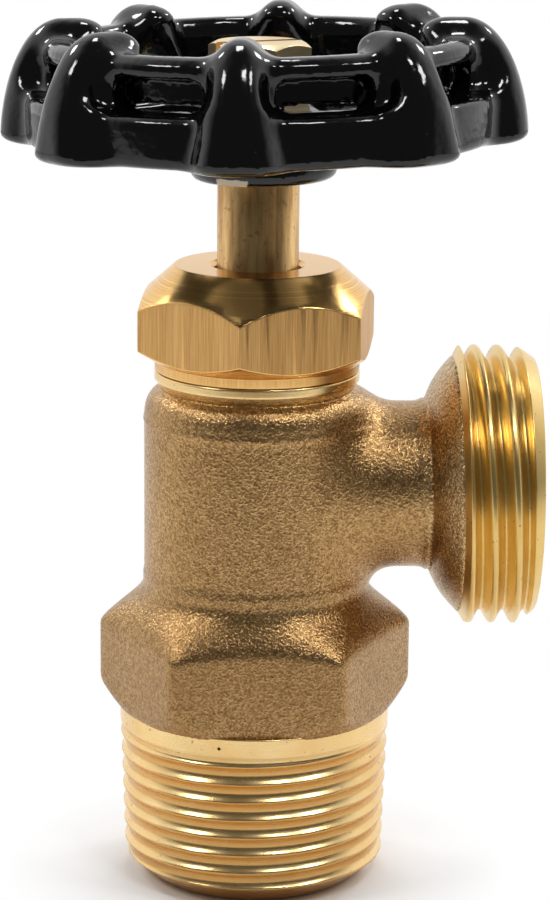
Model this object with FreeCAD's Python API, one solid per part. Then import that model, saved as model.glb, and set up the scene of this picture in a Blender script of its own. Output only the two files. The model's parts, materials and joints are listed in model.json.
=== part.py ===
import FreeCAD, Part
import math
import os

from FreeCAD import Vector

# A boiler drain valve: a cast brass angle valve with a tapered pipe thread below, a garden
# hose thread at the side, a packing nut round the stem and an eight lobed handwheel on top.
# Millimetres. The origin is the centre of the inlet end face, +Z runs up the stem and +X runs
# out through the hose outlet. The valve is drawn closed.

# Driving dimensions: inlet spigot with its tapered pipe thread
inlet_thread_diameter = 26.4    # over the crests at the top of the thread
inlet_thread_pitch = 25.4 / 14
inlet_thread_taper = 1 / 16     # change of diameter per length
inlet_thread_depth = 1.15
inlet_thread_length = 15.4
inlet_band_height = 1.5
inlet_bore_diameter = 18.0
inlet_chamfer_height = 2.0
inlet_chamfer_width = 2.4
inlet_thread_start = 100        # degrees about the stem where the groove begins

# Driving dimensions: cast wrench hexagon and body
hex_across_flats = 26.7
hex_front_to_back = 25.2
hex_height = 8.2
hex_chamfer_slope = 1.08        # rise per radius of the turned chamfer below the hexagon
hex_shoulder_height = 5.0
barrel_diameter = 21.7
barrel_height = 15.8
barrel_shoulder_height = 2.6
neck_diameter = 18.4
collar_diameter = 19.7
collar_height = 0.85
collar_undercut = 1.0
nut_thread_diameter = 17.9
nut_thread_length = 7.0

# Driving dimensions: inside of the body
seat_floor_height = 20.0        # underside of the wall that holds the seat
seat_wall = 6.0
seat_bore_diameter = 8.4
seat_lip_height = 2.5
seat_lip_width = 1.1
chamber_diameter = 16.6
stem_bore_length = 9.3          # tapped length above the chamber
packing_bore_depth = 3.9

# Driving dimensions: hose outlet
outlet_axis_height = 39.0
outlet_reach = 26.8             # stem axis to the outlet end face
outlet_thread_diameter = 27.0
outlet_thread_pitch = 25.4 / 11.5
outlet_thread_depth = 1.35
outlet_thread_length = 7.3
outlet_thread_chamfer = 1.1
outlet_thread_start = 150       # degrees about the outlet where the groove begins
outlet_rim_diameter = 24.4
outlet_flare_length = 3.3
arm_diameter = 15.8
arm_blend_radius = 1.6
arm_bore_diameter = 10.0
hose_socket_diameter = 19.0
hose_socket_depth = 5.6

# Driving dimensions: packing nut and what it presses on
packing_nut_across_flats = 21.2
packing_nut_height = 10.1
packing_nut_turn = -9.0         # degrees from a corner facing the front
nut_skirt_height = 0.9
nut_lower_chamfer_height = 1.5
nut_hex_height = 3.9
nut_top_diameter = 15.9
nut_roof = 1.7
nut_seat_gap = 0.1
base_washer_thickness = 0.6
packing_ring_thickness = 1.4

# Driving dimensions: stem
stem_diameter = 7.8
stem_thread_diameter = 13.9
stem_thread_pitch = 2.54
stem_thread_depth = 0.9
stem_thread_length = 7.2
stem_waist_diameter = 11.2
stem_button_diameter = 6.0
stem_square = 5.5
stem_square_length = 8.5
stem_tip_gap = 0.1
turns_to_open = 2.0

# Driving dimensions: swivelling disc under the stem
seat_washer_diameter = 10.6
seat_washer_thickness = 3.0
holder_diameter = 12.0
holder_plate = 1.6
holder_rim = 1.2
holder_boss_diameter = 9.2
holder_boss_height = 5.4
holder_floor = 1.0
swivel_wire = 0.84
washer_screw_shank = 2.8
washer_screw_head = 5.2
washer_screw_head_height = 1.6
washer_screw_length = 6.0

# Driving dimensions: handwheel
wheel_diameter = 50.0
wheel_gap_to_nut = 8.3          # from the nut's top up to the hub
wheel_bottom_gap = 3.3          # from the hub's lower end up to the skirt's lower edge
wheel_height = 11.8             # skirt's lower edge to the top of the lobes
lobe_count = 8
lobe_turn = -7.2                # degrees from a lobe facing the front
lobe_foot_width = 9.8
lobe_head_width = 4.9
lobe_dome_height = 2.9
lobe_inner_radius = 14.9        # the lobes' tops reach in past the rim
lobe_crown_radius = 18.8
lobe_inner_round = 2.6          # how far the round at the top draws the inner end out
lobe_inner_fall = 1.5           # height of that round
lobe_inner_bulge = 3.9          # height over which the inner end runs down into the wall
lobe_foot_round = 1.1           # height of the round at a lobe's foot
lobe_foot_tuck = 2.6            # how far that round draws the foot in
skirt_diameter = 44.4
skirt_height = 5.0
skirt_wall = 2.2
gallery_diameter = 40.2
gallery_wall = 1.9
rim_width = 2.8
rim_height = 1.7
rim_drop = 2.45                 # lobe tops stand this far above the rim
apron_height = 3.0              # the inner wall hangs this far below the top of the rim
window_width = 8.2
window_height = 3.1
window_sill = 0.4
window_overrun = 0.05           # the windows are cut this far past the gallery's inner face
spoke_count = 4
spoke_width = 4.4
spoke_thickness = 2.6
hub_diameter = 13.9
hub_height = 9.0
hub_round = 0.8

# Driving dimensions: handwheel screw
wheel_screw_across_flats = 8.6
wheel_screw_head_height = 3.1
wheel_screw_shank = 4.8
wheel_screw_length = 10.0
wheel_screw_slot = 1.3
wheel_screw_slot_depth = 1.0
wheel_screw_turn = 16.7         # degrees from a corner facing the front
wheel_screw_slot_turn = 24
wheel_washer_diameter = 9.2
wheel_washer_thickness = 0.8
wheel_washer_split = 0.5
wheel_washer_split_lean = 20
wheel_washer_split_turn = 35

# Clearances
running_gap = 0.05
packing_gap = 0.04
loose_gap = 0.3
seat_gap = 0.1
socket_gap = 0.05
stop_gap = 0.2

# Heights that follow from the sizes above
Z = Vector(0, 0, 1)
flat_to_corner = 30             # degrees
thread_top = inlet_thread_length
hex_bottom = thread_top + inlet_band_height
hex_top = hex_bottom + hex_height
barrel_bottom = hex_top + hex_shoulder_height
shoulder_bottom = barrel_bottom + barrel_height
neck_bottom = shoulder_bottom + barrel_shoulder_height
collar_bottom = neck_bottom + collar_undercut
collar_top = collar_bottom + collar_height
body_top = collar_top + nut_thread_length
packing_floor = body_top - packing_bore_depth
chamber_top = packing_floor - stem_bore_length
chamber_floor = seat_floor_height + seat_wall
seat_top = chamber_floor + seat_lip_height
nut_bottom = collar_top + nut_seat_gap
nut_top = nut_bottom + packing_nut_height
nut_ceiling = nut_top - nut_roof
stem_travel = turns_to_open * stem_thread_pitch
washer_bottom = seat_top + seat_gap
holder_bottom = washer_bottom + seat_washer_thickness
holder_plate_top = holder_bottom + holder_plate
socket_floor = holder_bottom + holder_floor + holder_plate
boss_top = holder_plate_top + holder_boss_height
stem_bottom = socket_floor + stem_tip_gap
stem_thread_top = packing_floor - stop_gap - stem_travel
stem_thread_bottom = stem_thread_top - stem_thread_length
waist_bottom = boss_top + stem_tip_gap
hub_bottom = nut_top + wheel_gap_to_nut
hub_top = hub_bottom + hub_height
stem_top = hub_bottom + stem_square_length
wheel_bottom = hub_bottom + wheel_bottom_gap
wheel_top = wheel_bottom + wheel_height
ledge_height = wheel_bottom + skirt_height
rim_top = wheel_top - rim_drop
screw_seat = hub_top + wheel_washer_thickness
packing_bore_diameter = stem_thread_diameter + 4 * running_gap
stem_bore_diameter = stem_thread_diameter + 2 * running_gap


def cylinder(radius, low, high):
    """A solid cylinder on the stem axis between two heights."""
    return Part.makeCylinder(radius, high - low, Vector(0, 0, low), Z)


def tube(outer, inner, low, high):
    """A plain ring on the stem axis."""
    return cylinder(outer, low, high).cut(cylinder(inner, low - 1, high + 1))


def outline(points):
    """Closed wire in the XZ plane; a nested pair (mid, end) makes an arc to end through mid."""
    edges = []
    here = points[0]
    for item in points[1:] + [points[0]]:
        start = Vector(here[0], 0, here[1])
        if isinstance(item[0], tuple):
            mid, end = item
            arc = Part.Arc(start, Vector(mid[0], 0, mid[1]), Vector(end[0], 0, end[1]))
            edges.append(arc.toShape())
            here = end
        elif item != here:
            edges.append(Part.makeLine(start, Vector(item[0], 0, item[1])))
            here = item
    return Part.Wire(edges)


def turned(points):
    """A solid of revolution about the stem axis from (radius, height) points."""
    return Part.Face(outline(points)).revolve(Vector(0, 0, 0), Z, 360)


def along_outlet(shape):
    """Lay a shape that was turned about Z along the outlet, with its own origin on the stem axis."""
    placed = shape.copy()
    placed.rotate(Vector(0, 0, 0), Vector(0, 1, 0), 90)
    placed.translate(Vector(0, 0, outlet_axis_height))
    return placed


def around(shape, count, first=0.0):
    """Copies of a shape at even steps about the stem axis."""
    copies = []
    for step in range(count):
        copy = shape.copy()
        copy.rotate(Vector(0, 0, 0), Z, first + 360 * step / count)
        copies.append(copy)
    return copies


def hex_points(across, front_to_back, height):
    """Corners of a hexagon with two corners on the X axis and flats facing front and back."""
    half = front_to_back / 2
    corner = across / math.sqrt(3)
    side = corner - half / math.sqrt(3)
    ring = [(corner, 0), (side, half), (-side, half), (-corner, 0), (-side, -half), (side, -half)]
    return [Vector(x, y, height) for x, y in ring]


def hex_prism(across, low, high, turn=0.0, front_to_back=None):
    """A hexagonal prism on the stem axis."""
    points = hex_points(across, front_to_back or across, low)
    prism = Part.Face(Part.makePolygon(points + points[:1])).extrude(Vector(0, 0, high - low))
    prism.rotate(Vector(0, 0, 0), Z, turn)
    return prism


def thread_groove(radius, pitch, depth, low, high, taper=0.0, start=0.0):
    """The helical space between threads: a vee with a flat root, swept up a right hand helix."""
    crest_flat = 0.14 * pitch
    root = 0.07 * pitch
    half = (pitch - crest_flat) / 2
    over = 0.08
    wide = half + over * (half - root) / depth
    reach = 0.4
    slope = math.degrees(math.atan(taper / 2))
    helix = Part.makeLongHelix(pitch, high - low, radius, slope)
    upper = [(radius - depth, root), (radius + over, wide), (radius + reach, wide)]
    lower = [(r, -z) for r, z in reversed(upper)]
    corners = [Vector(r, 0, z) for r, z in upper + lower]
    sweep = Part.BRepOffsetAPI.MakePipeShell(Part.Wire(helix))
    sweep.setFrenetMode(True)
    sweep.add(Part.makePolygon(corners + corners[:1]))
    sweep.build()
    sweep.makeSolid()
    groove = sweep.shape()
    groove.rotate(Vector(0, 0, 0), Z, start)
    groove.translate(Vector(0, 0, low))
    return groove


def inlet_spigot():
    """Tapered spigot with its end chamfer, plain band and the cut thread."""
    top = inlet_thread_diameter / 2
    slope = inlet_thread_taper / 2
    low = top - slope * inlet_thread_length
    spigot = turned([
        (0, 0),
        (low - inlet_chamfer_width, 0),
        (low + slope * inlet_chamfer_height, inlet_chamfer_height),
        (top, thread_top),
        (top, hex_bottom + 1),
        (0, hex_bottom + 1),
    ])
    run_in = inlet_thread_pitch
    groove = thread_groove(low - slope * run_in, inlet_thread_pitch, inlet_thread_depth,
                           -run_in, thread_top - inlet_thread_pitch / 2,
                           inlet_thread_taper, inlet_thread_start)
    return spigot.cut(groove)


def wrench_hexagon():
    """Cast hexagon, chamfered round below, with a shoulder that blends it into the barrel."""
    prism = hex_prism(hex_across_flats, hex_bottom, hex_top, 0, hex_front_to_back)
    start = inlet_thread_diameter / 2
    reach = max(hex_across_flats / math.sqrt(3), start) + 1
    envelope = turned([
        (0, hex_bottom),
        (start, hex_bottom),
        (reach, hex_bottom + hex_chamfer_slope * (reach - start)),
        (reach, hex_top + 1),
        (0, hex_top + 1),
    ])
    prism = prism.common(envelope)
    corners = hex_points(hex_across_flats, hex_front_to_back, hex_top)
    lower = Part.makePolygon(corners + corners[:1])
    radius = barrel_diameter / 2
    arcs = []
    for here, there in zip(corners, corners[1:] + corners[:1]):
        first = math.atan2(here.y, here.x)
        turn = (math.atan2(there.y, there.x) - first) % (2 * math.pi)
        ends = [first, first + turn / 2, first + turn]
        spots = [Vector(radius * math.cos(a), radius * math.sin(a), barrel_bottom) for a in ends]
        arcs.append(Part.Arc(*spots).toShape())
    shoulder = Part.makeLoft([lower, Part.Wire(arcs)], True, True)
    return prism.fuse(shoulder)


def barrel_and_arm():
    """Round barrel with its rounded shoulder, and the arm that branches off it."""
    barrel = barrel_diameter / 2
    neck = neck_diameter / 2
    column = turned([
        (0, hex_bottom),
        (barrel, hex_bottom),
        (barrel, shoulder_bottom),
        ((barrel - 0.3 * (barrel - neck), shoulder_bottom + 0.6 * barrel_shoulder_height),
         (neck, neck_bottom)),
        (0, neck_bottom),
    ])
    arm = along_outlet(cylinder(arm_diameter / 2, 0, outlet_reach - outlet_thread_length - 2))
    joined = column.fuse(arm)
    far = barrel_diameter
    edges = [edge for edge in joined.Edges if is_junction(edge, barrel, far)]
    return joined.makeFillet(arm_blend_radius, edges)


def is_junction(edge, radius, far):
    """True for the edges where the arm meets the barrel."""
    for spot in edge.discretize(5):
        on_barrel = abs(math.hypot(spot.x, spot.y) - radius) < 0.01
        from_arm = math.hypot(spot.y, spot.z - outlet_axis_height)
        on_arm = abs(from_arm - arm_diameter / 2) < 0.01
        if not (on_barrel and on_arm and 0 < spot.x < far):
            return False
    return True


def machined_neck():
    """Undercut, collar and the male thread that carries the packing nut."""
    collar = collar_diameter / 2
    thread = nut_thread_diameter / 2
    lead = 0.5
    return turned([
        (0, neck_bottom - 0.5),
        (neck_diameter / 2, neck_bottom - 0.5),
        (neck_diameter / 2, neck_bottom),
        (collar, collar_bottom),
        (collar, collar_top),
        (thread, collar_top),
        (thread, body_top - lead),
        (thread - lead, body_top),
        (0, body_top),
    ])


def hose_outlet():
    """Flared flange with the hose thread cut round it."""
    arm = arm_diameter / 2
    rim = outlet_rim_diameter / 2
    crest = outlet_thread_diameter / 2
    thread_start = outlet_reach - outlet_thread_length
    flare_start = thread_start - outlet_flare_length
    flare = rim - arm
    bevel = crest - rim
    spool = turned([
        (0, flare_start - 1),
        (arm, flare_start - 1),
        (arm, flare_start),
        ((arm + 0.12 * flare, flare_start + 0.26 * outlet_flare_length),
         (arm + 0.4 * flare, flare_start + 0.4 * outlet_flare_length)),
        (arm + 0.8 * flare, flare_start + 0.55 * outlet_flare_length),
        ((arm + 0.95 * flare, flare_start + 0.72 * outlet_flare_length),
         (rim, thread_start)),
        (crest, thread_start + 0.5 * bevel),
        (crest, outlet_reach - outlet_thread_chamfer),
        (crest - outlet_thread_chamfer, outlet_reach),
        (0, outlet_reach),
    ])
    groove = thread_groove(crest, outlet_thread_pitch, outlet_thread_depth,
                           thread_start + outlet_thread_pitch / 2,
                           outlet_reach + outlet_thread_pitch, 0.0, outlet_thread_start)
    return along_outlet(spool.cut(groove))


def water_way():
    """Everything that is bored out of the body."""
    seat = seat_bore_diameter / 2
    lip = seat + seat_lip_width
    chamber = chamber_diameter / 2
    column = turned([
        (0, -1),
        (inlet_bore_diameter / 2, -1),
        (inlet_bore_diameter / 2, seat_floor_height - 2),
        (seat + 1, seat_floor_height),
        (seat, seat_floor_height + 1),
        (seat, seat_top),
        (lip, seat_top),
        (lip + 0.6, chamber_floor),
        (chamber, chamber_floor),
        (chamber, chamber_top - 1),
        (stem_bore_diameter / 2, chamber_top),
        (stem_bore_diameter / 2, packing_floor),
        (packing_bore_diameter / 2, packing_floor),
        (packing_bore_diameter / 2, body_top + 1),
        (0, body_top + 1),
    ])
    bore = arm_bore_diameter / 2
    socket = hose_socket_diameter / 2
    socket_end = outlet_reach - hose_socket_depth
    side = turned([
        (0, 0),
        (bore, 0),
        (bore, socket_end - 0.5 * (socket - bore)),
        (socket, socket_end),
        (socket, outlet_reach + 1),
        (0, outlet_reach + 1),
    ])
    return column.fuse(along_outlet(side))


def valve_body():
    """The brass casting with everything that is machined on it."""
    solid = barrel_and_arm()
    for piece in (wrench_hexagon(), inlet_spigot(), machined_neck(), hose_outlet()):
        solid = solid.fuse(piece)
    return solid.removeSplitter().cut(water_way())


def packing_nut():
    """Hexagon nut with a conical top, a round skirt and a hole for the stem."""
    skirt = collar_diameter / 2
    low = nut_bottom + nut_skirt_height
    corner = packing_nut_across_flats / math.sqrt(3)
    flats_low = low + nut_lower_chamfer_height
    flats_high = flats_low + nut_hex_height
    top = nut_top_diameter / 2
    reach = corner + 0.5
    slope = (nut_top - flats_high) / (corner - top)
    fall = nut_lower_chamfer_height / (corner - skirt)
    envelope = turned([
        (0, nut_bottom),
        (skirt, nut_bottom),
        (skirt, low),
        (reach, flats_low + 0.5 * fall),
        (reach, flats_high - 0.5 * slope),
        (top, nut_top),
        (0, nut_top),
    ])
    prism = hex_prism(packing_nut_across_flats, low, nut_top + 1,
                      flat_to_corner + packing_nut_turn)
    shell = envelope.common(prism.fuse(cylinder(skirt, nut_bottom, low)))
    hole = stem_diameter / 2 + loose_gap
    thread = nut_thread_diameter / 2 + running_gap
    lead = 0.4
    inside = turned([
        (0, nut_bottom - 1),
        (thread + lead, nut_bottom - 1),
        (thread + lead, nut_bottom),
        (thread, nut_bottom + lead),
        (thread, nut_ceiling),
        (hole, nut_ceiling),
        (hole, nut_top - lead),
        (hole + lead, nut_top),
        (hole + lead, nut_top + 1),
        (0, nut_top + 1),
    ])
    return shell.cut(inside)


def packing_stack():
    """Washer, two packing rings and the gland that the nut presses down on them."""
    outer = packing_bore_diameter / 2 - packing_gap
    inner = stem_diameter / 2 + packing_gap
    bearing = stem_diameter / 2 + running_gap
    low = packing_floor
    pieces = {"packing_base_washer": tube(outer, bearing, low, low + base_washer_thickness)}
    low += base_washer_thickness
    for name in ("lower_packing_ring", "upper_packing_ring"):
        pieces[name] = tube(outer, inner, low, low + packing_ring_thickness)
        low += packing_ring_thickness
    pieces["gland"] = tube(outer, bearing, low, nut_ceiling)
    return pieces


def stem():
    """Stem with its screw thread, the swivel button below and the square for the handwheel."""
    shaft = stem_diameter / 2
    thread = stem_thread_diameter / 2
    waist = stem_waist_diameter / 2
    button = stem_button_diameter / 2
    wire_height = socket_floor + 0.5 * (boss_top - socket_floor)
    half_slot = swivel_wire / 2 + running_gap
    neck = button - swivel_wire / 2 - running_gap
    bevel = 0.5
    turned_part = turned([
        (0, stem_bottom),
        (button, stem_bottom),
        (button, wire_height - half_slot),
        (neck, wire_height - half_slot),
        (neck, wire_height + half_slot),
        (button, wire_height + half_slot),
        (button, waist_bottom),
        (waist - bevel, waist_bottom),
        (waist, waist_bottom + bevel),
        (waist, stem_thread_bottom - (thread - waist)),
        (thread, stem_thread_bottom),
        (thread, stem_thread_top - bevel),
        (thread - bevel, stem_thread_top),
        (shaft, stem_thread_top),
        (shaft, stem_top - bevel),
        (shaft - bevel, stem_top),
        (0, stem_top),
    ])
    groove = thread_groove(thread, stem_thread_pitch, stem_thread_depth,
                           stem_thread_bottom - stem_thread_pitch,
                           stem_thread_top + stem_thread_pitch)
    turned_part = turned_part.cut(groove)
    blank = cylinder(shaft + 1, hub_bottom, stem_top + 1)
    side = stem_square
    square = Part.makeBox(side, side, stem_top + 2 - hub_bottom,
                          Vector(-side / 2, -side / 2, hub_bottom))
    square.rotate(Vector(0, 0, 0), Z, lobe_turn)
    turned_part = turned_part.cut(blank.cut(square))
    tapped = screw_seat - wheel_screw_length - 1
    return turned_part.cut(cylinder(wheel_screw_shank / 2 + running_gap, tapped, stem_top + 1))


def disc_holder():
    """Cup that holds the seat washer and swivels on the button of the stem."""
    rim = holder_diameter / 2
    washer = seat_washer_diameter / 2
    boss = holder_boss_diameter / 2
    socket = stem_button_diameter / 2 + running_gap
    wire_height = socket_floor + 0.5 * (boss_top - socket_floor)
    groove = stem_button_diameter / 2 + swivel_wire / 2
    half_slot = swivel_wire / 2 + running_gap
    cup = turned([
        (0, holder_bottom),
        (washer + running_gap, holder_bottom),
        (washer + running_gap, holder_bottom - holder_rim),
        (rim, holder_bottom - holder_rim),
        (rim, holder_plate_top),
        (boss, holder_plate_top),
        (boss, boss_top),
        (socket, boss_top),
        (socket, wire_height + half_slot),
        (groove + running_gap, wire_height + half_slot),
        (groove + running_gap, wire_height - half_slot),
        (socket, wire_height - half_slot),
        (socket, socket_floor),
        (0, socket_floor),
    ])
    hole_top = washer_screw_top() + running_gap
    return cup.cut(cylinder(washer_screw_shank / 2 + running_gap, holder_bottom - 1, hole_top))


def washer_screw_top():
    """Height of the end of the screw that holds the seat washer."""
    wanted = washer_bottom - washer_screw_head_height + washer_screw_length
    return min(wanted, socket_floor - 0.3)


def seat_washer():
    """Rubber washer that closes on the seat."""
    return tube(seat_washer_diameter / 2, washer_screw_shank / 2 + running_gap,
                washer_bottom, holder_bottom)


def washer_screw():
    """Slotted screw with a domed head below the seat washer."""
    head = washer_screw_head / 2
    shank = washer_screw_shank / 2
    low = washer_bottom - washer_screw_head_height
    screw = turned([
        (0, low),
        (0.5 * head, low),
        ((0.86 * head, low + 0.22 * washer_screw_head_height),
         (head, low + 0.6 * washer_screw_head_height)),
        (head, washer_bottom),
        (shank, washer_bottom),
        (shank, washer_screw_top() - 0.3),
        (shank - 0.3, washer_screw_top()),
        (0, washer_screw_top()),
    ])
    slot = Part.makeBox(2 * head + 2, 0.7, 0.7, Vector(-head - 1, -0.35, low - 0.1))
    return screw.cut(slot)


def swivel_ring():
    """Open wire ring that locks the stem's button into the disc holder."""
    height = socket_floor + 0.5 * (boss_top - socket_floor)
    ring = Part.makeTorus(stem_button_diameter / 2, swivel_wire / 2, Vector(0, 0, height), Z)
    gap = Part.makeBox(stem_button_diameter, 1.2, 2 * swivel_wire,
                       Vector(0, -0.6, height - swivel_wire))
    return ring.cut(gap)


def lobe():
    """One finger lobe: a loft up through sections that draw in towards its domed top."""
    shares = (0.0, 0.01, 0.03, 0.06, 0.12, 0.25, 0.4, 0.55, 0.68, 0.78, 0.86, 0.92, 0.96, 0.99)
    body = Part.makeLoft([lobe_section(share) for share in shares], True, False)
    body.rotate(Vector(0, 0, 0), Z, -90)
    return body


def lobe_section(share):
    """Outline of a lobe at a share of its height: a slot with round ends, lying along +Y."""
    height = share * wheel_height
    deep = wheel_diameter / 2 - lobe_crown_radius
    foot = max(0.0, 1 - height / lobe_foot_round)
    tuck = lobe_foot_tuck * (1 - math.sqrt(1 - foot ** 2))
    outer = lobe_crown_radius + deep * (1 - share ** 2) ** 0.6 - tuck
    taper = (lobe_foot_width + (lobe_head_width - lobe_foot_width) * share) / 2
    dome = max(0.0, 1 - (wheel_height - height) / lobe_dome_height)
    half = taper * math.sqrt(1 - dome ** 2)
    fall = max(0.0, 1 - (wheel_height - height) / lobe_inner_fall)
    inner = lobe_inner_radius + lobe_inner_round * (1 - math.sqrt(1 - fall ** 2))
    nose = min(half, 0.45 * (outer - inner))
    level = wheel_bottom + height
    left = Vector(-half, outer - nose, level)
    right = Vector(half, outer - nose, level)
    back_right = Vector(half, inner + nose, level)
    back_left = Vector(-half, inner + nose, level)
    return Part.Wire([
        Part.Arc(left, Vector(0, outer, level), right).toShape(),
        Part.makeLine(right, back_right),
        Part.Arc(back_right, Vector(0, inner, level), back_left).toShape(),
        Part.makeLine(back_left, left),
    ])


def wheel_shell():
    """Skirt, ledge, gallery and rim between the lobes, still solid inside."""
    skirt = skirt_diameter / 2
    gallery = gallery_diameter / 2
    edge = rim_top - 0.6 * rim_height
    middle = gallery - rim_width / 2
    inner = gallery - rim_width
    soft = 0.6
    return turned([
        (0, wheel_bottom),
        (skirt - soft, wheel_bottom),
        (skirt, wheel_bottom + soft),
        (skirt - 0.5 * soft, ledge_height - soft),
        (skirt - soft, ledge_height),
        (gallery, ledge_height + 0.3),
        (gallery, edge),
        ((gallery - 0.3 * rim_width / 2, edge + 0.42 * rim_height), (middle, rim_top)),
        ((middle - 0.6 * rim_width / 2, rim_top - 0.12 * rim_height), (inner - 0.5, edge)),
        (0, edge),
    ])


def basin(upper):
    """What is open inside the wheel below the apron, closed above by the points that follow."""
    skirt = skirt_diameter / 2 - skirt_wall
    gallery = gallery_diameter / 2 - gallery_wall
    return turned([
        (0, wheel_bottom - 1),
        (skirt + 0.5, wheel_bottom - 1),
        (skirt, ledge_height - 2),
        (gallery, ledge_height - 0.8),
    ] + upper + [(0, wheel_top + 1)])


def shell_basin():
    """The basin as it is between the lobes, with the apron's face above it."""
    gallery = gallery_diameter / 2 - gallery_wall
    rim = gallery_diameter / 2 - rim_width
    low = rim_top - apron_height
    return basin([(gallery, low), (rim, low), (rim + 0.2, rim_top), (rim + 1.4, wheel_top + 1)])


def lobe_basin():
    """The basin as it is at the lobes, whose inner ends run down into the wall."""
    rim = gallery_diameter / 2 - rim_width
    inner = lobe_inner_radius
    low = rim_top - apron_height
    bulge = rim - inner
    return basin([
        (rim, low),
        ((inner + 0.45 * bulge, low + 0.4 * lobe_inner_bulge),
         (inner + 0.1 * bulge, low + 0.8 * lobe_inner_bulge)),
        (inner - 0.5, low + lobe_inner_bulge),
        (inner - 0.5, wheel_top + 1),
    ])


def handwheel():
    """Eight lobed wheel: skirt, gallery with windows, rim and apron, four spokes and the hub."""
    step = 360 / lobe_count
    first_bay = lobe_turn - 90 + step / 2
    gallery = gallery_diameter / 2
    behind = gallery - gallery_wall
    window = pill(window_width, window_height, behind - 1, gallery + 1)
    window.translate(Vector(0, 0, ledge_height + window_sill + window_height / 2))
    window = window.cut(cylinder(behind - window_overrun, wheel_bottom, wheel_top))
    shell = wheel_shell().cut(Part.Compound(around(window, lobe_count, first_bay)))
    lobes = around(lobe().cut(lobe_basin()), lobe_count, lobe_turn)
    spokes = around(spoke(skirt_diameter / 2 - 0.5 * skirt_wall), spoke_count, first_bay)
    wheel = shell.cut(shell_basin()).multiFuse(lobes + spokes + [hub()])
    side = stem_square + 2 * socket_gap
    hole = Part.makeBox(side, side, hub_height + 2, Vector(-side / 2, -side / 2, hub_bottom - 1))
    hole.rotate(Vector(0, 0, 0), Z, lobe_turn)
    return wheel.cut(hole)


def pill(width, height, near, far):
    """A slot with round ends, lying along X from near to far and centred on height zero."""
    end = height / 2
    reach = far - near
    middle = Part.makeBox(reach, width - height, height,
                          Vector(near, -(width - height) / 2, -end))
    for side in (-1, 1):
        spot = Vector(near, side * (width - height) / 2, 0)
        middle = middle.fuse(Part.makeCylinder(end, reach, spot, Vector(1, 0, 0)))
    return middle


def spoke(reach):
    """A flat spoke that rises from the skirt to the hub, with rounded long edges."""
    low = ledge_height - 1.4 - spoke_thickness
    rise = 1.2
    start = hub_diameter / 2 - 1
    bar = Part.Face(outline([
        (start, low + rise),
        (reach, low),
        (reach, low + spoke_thickness),
        (start, low + rise + spoke_thickness),
    ])).extrude(Vector(0, spoke_width, 0))
    bar.translate(Vector(0, -spoke_width / 2, 0))
    sides = [edge for edge in bar.Edges if edge.Length > 0.8 * (reach - start)]
    return bar.makeFillet(min(0.8, 0.3 * spoke_thickness), sides)


def hub():
    """Round hub with softened ends."""
    radius = hub_diameter / 2
    block = cylinder(radius, hub_bottom, hub_top)
    rims = [edge for edge in block.Edges if edge.Length > 0.9 * 2 * math.pi * radius]
    return block.makeFillet(hub_round, rims)


def wheel_washer():
    """Split washer under the head of the handwheel screw."""
    ring = tube(wheel_washer_diameter / 2, wheel_screw_shank / 2 + running_gap, hub_top, screw_seat)
    split = Part.makeBox(wheel_washer_diameter, wheel_washer_split, 3 * wheel_washer_thickness,
                         Vector(0, -wheel_washer_split / 2, hub_top - wheel_washer_thickness))
    split.rotate(Vector(0, 0, 0), Vector(1, 0, 0), wheel_washer_split_lean)
    split.rotate(Vector(0, 0, 0), Z, wheel_washer_split_turn)
    return ring.cut(split)


def wheel_screw():
    """Brass hexagon head screw with a chamfered, slotted top."""
    flats = wheel_screw_across_flats
    corner = flats / math.sqrt(3)
    top = screw_seat + wheel_screw_head_height
    head = hex_prism(flats, screw_seat, top, flat_to_corner + wheel_screw_turn)
    crown = 0.47 * flats
    bevel = corner - crown
    head = head.common(turned([
        (0, screw_seat),
        (corner + 0.1, screw_seat),
        (corner + 0.1, top - 0.55 * bevel),
        (corner, top - 0.55 * bevel),
        (crown, top),
        (0, top),
    ]))
    slot = Part.makeBox(2 * corner + 2, wheel_screw_slot, wheel_screw_slot_depth + 1,
                        Vector(-corner - 1, -wheel_screw_slot / 2, top - wheel_screw_slot_depth))
    slot.rotate(Vector(0, 0, 0), Z, wheel_screw_slot_turn)
    shank = wheel_screw_shank / 2
    end = screw_seat - wheel_screw_length
    rod = turned([
        (0, end),
        (shank - 0.6, end),
        (shank, end + 0.6),
        (shank, screw_seat + 0.5),
        (0, screw_seat + 0.5),
    ])
    return head.cut(slot).fuse(rod)


def build():
    """Every piece of the valve by the name of its node."""
    pieces = {
        "valve_body": valve_body(),
        "packing_nut": packing_nut(),
        "stem": stem(),
        "disc_holder": disc_holder(),
        "seat_washer": seat_washer(),
        "washer_screw": washer_screw(),
        "swivel_ring": swivel_ring(),
        "handwheel": handwheel(),
        "wheel_washer": wheel_washer(),
        "wheel_screw": wheel_screw(),
    }
    pieces.update(packing_stack())
    return pieces


os.makedirs("parts", exist_ok=True)
for name, shape in build().items():
    shape.exportStep("parts/" + name + ".step")
    print(name, len(shape.Solids), shape.isValid(), round(shape.Volume, 1))
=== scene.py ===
import json
import math

import bpy
import numpy as np
from mathutils import Matrix, Vector


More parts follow.
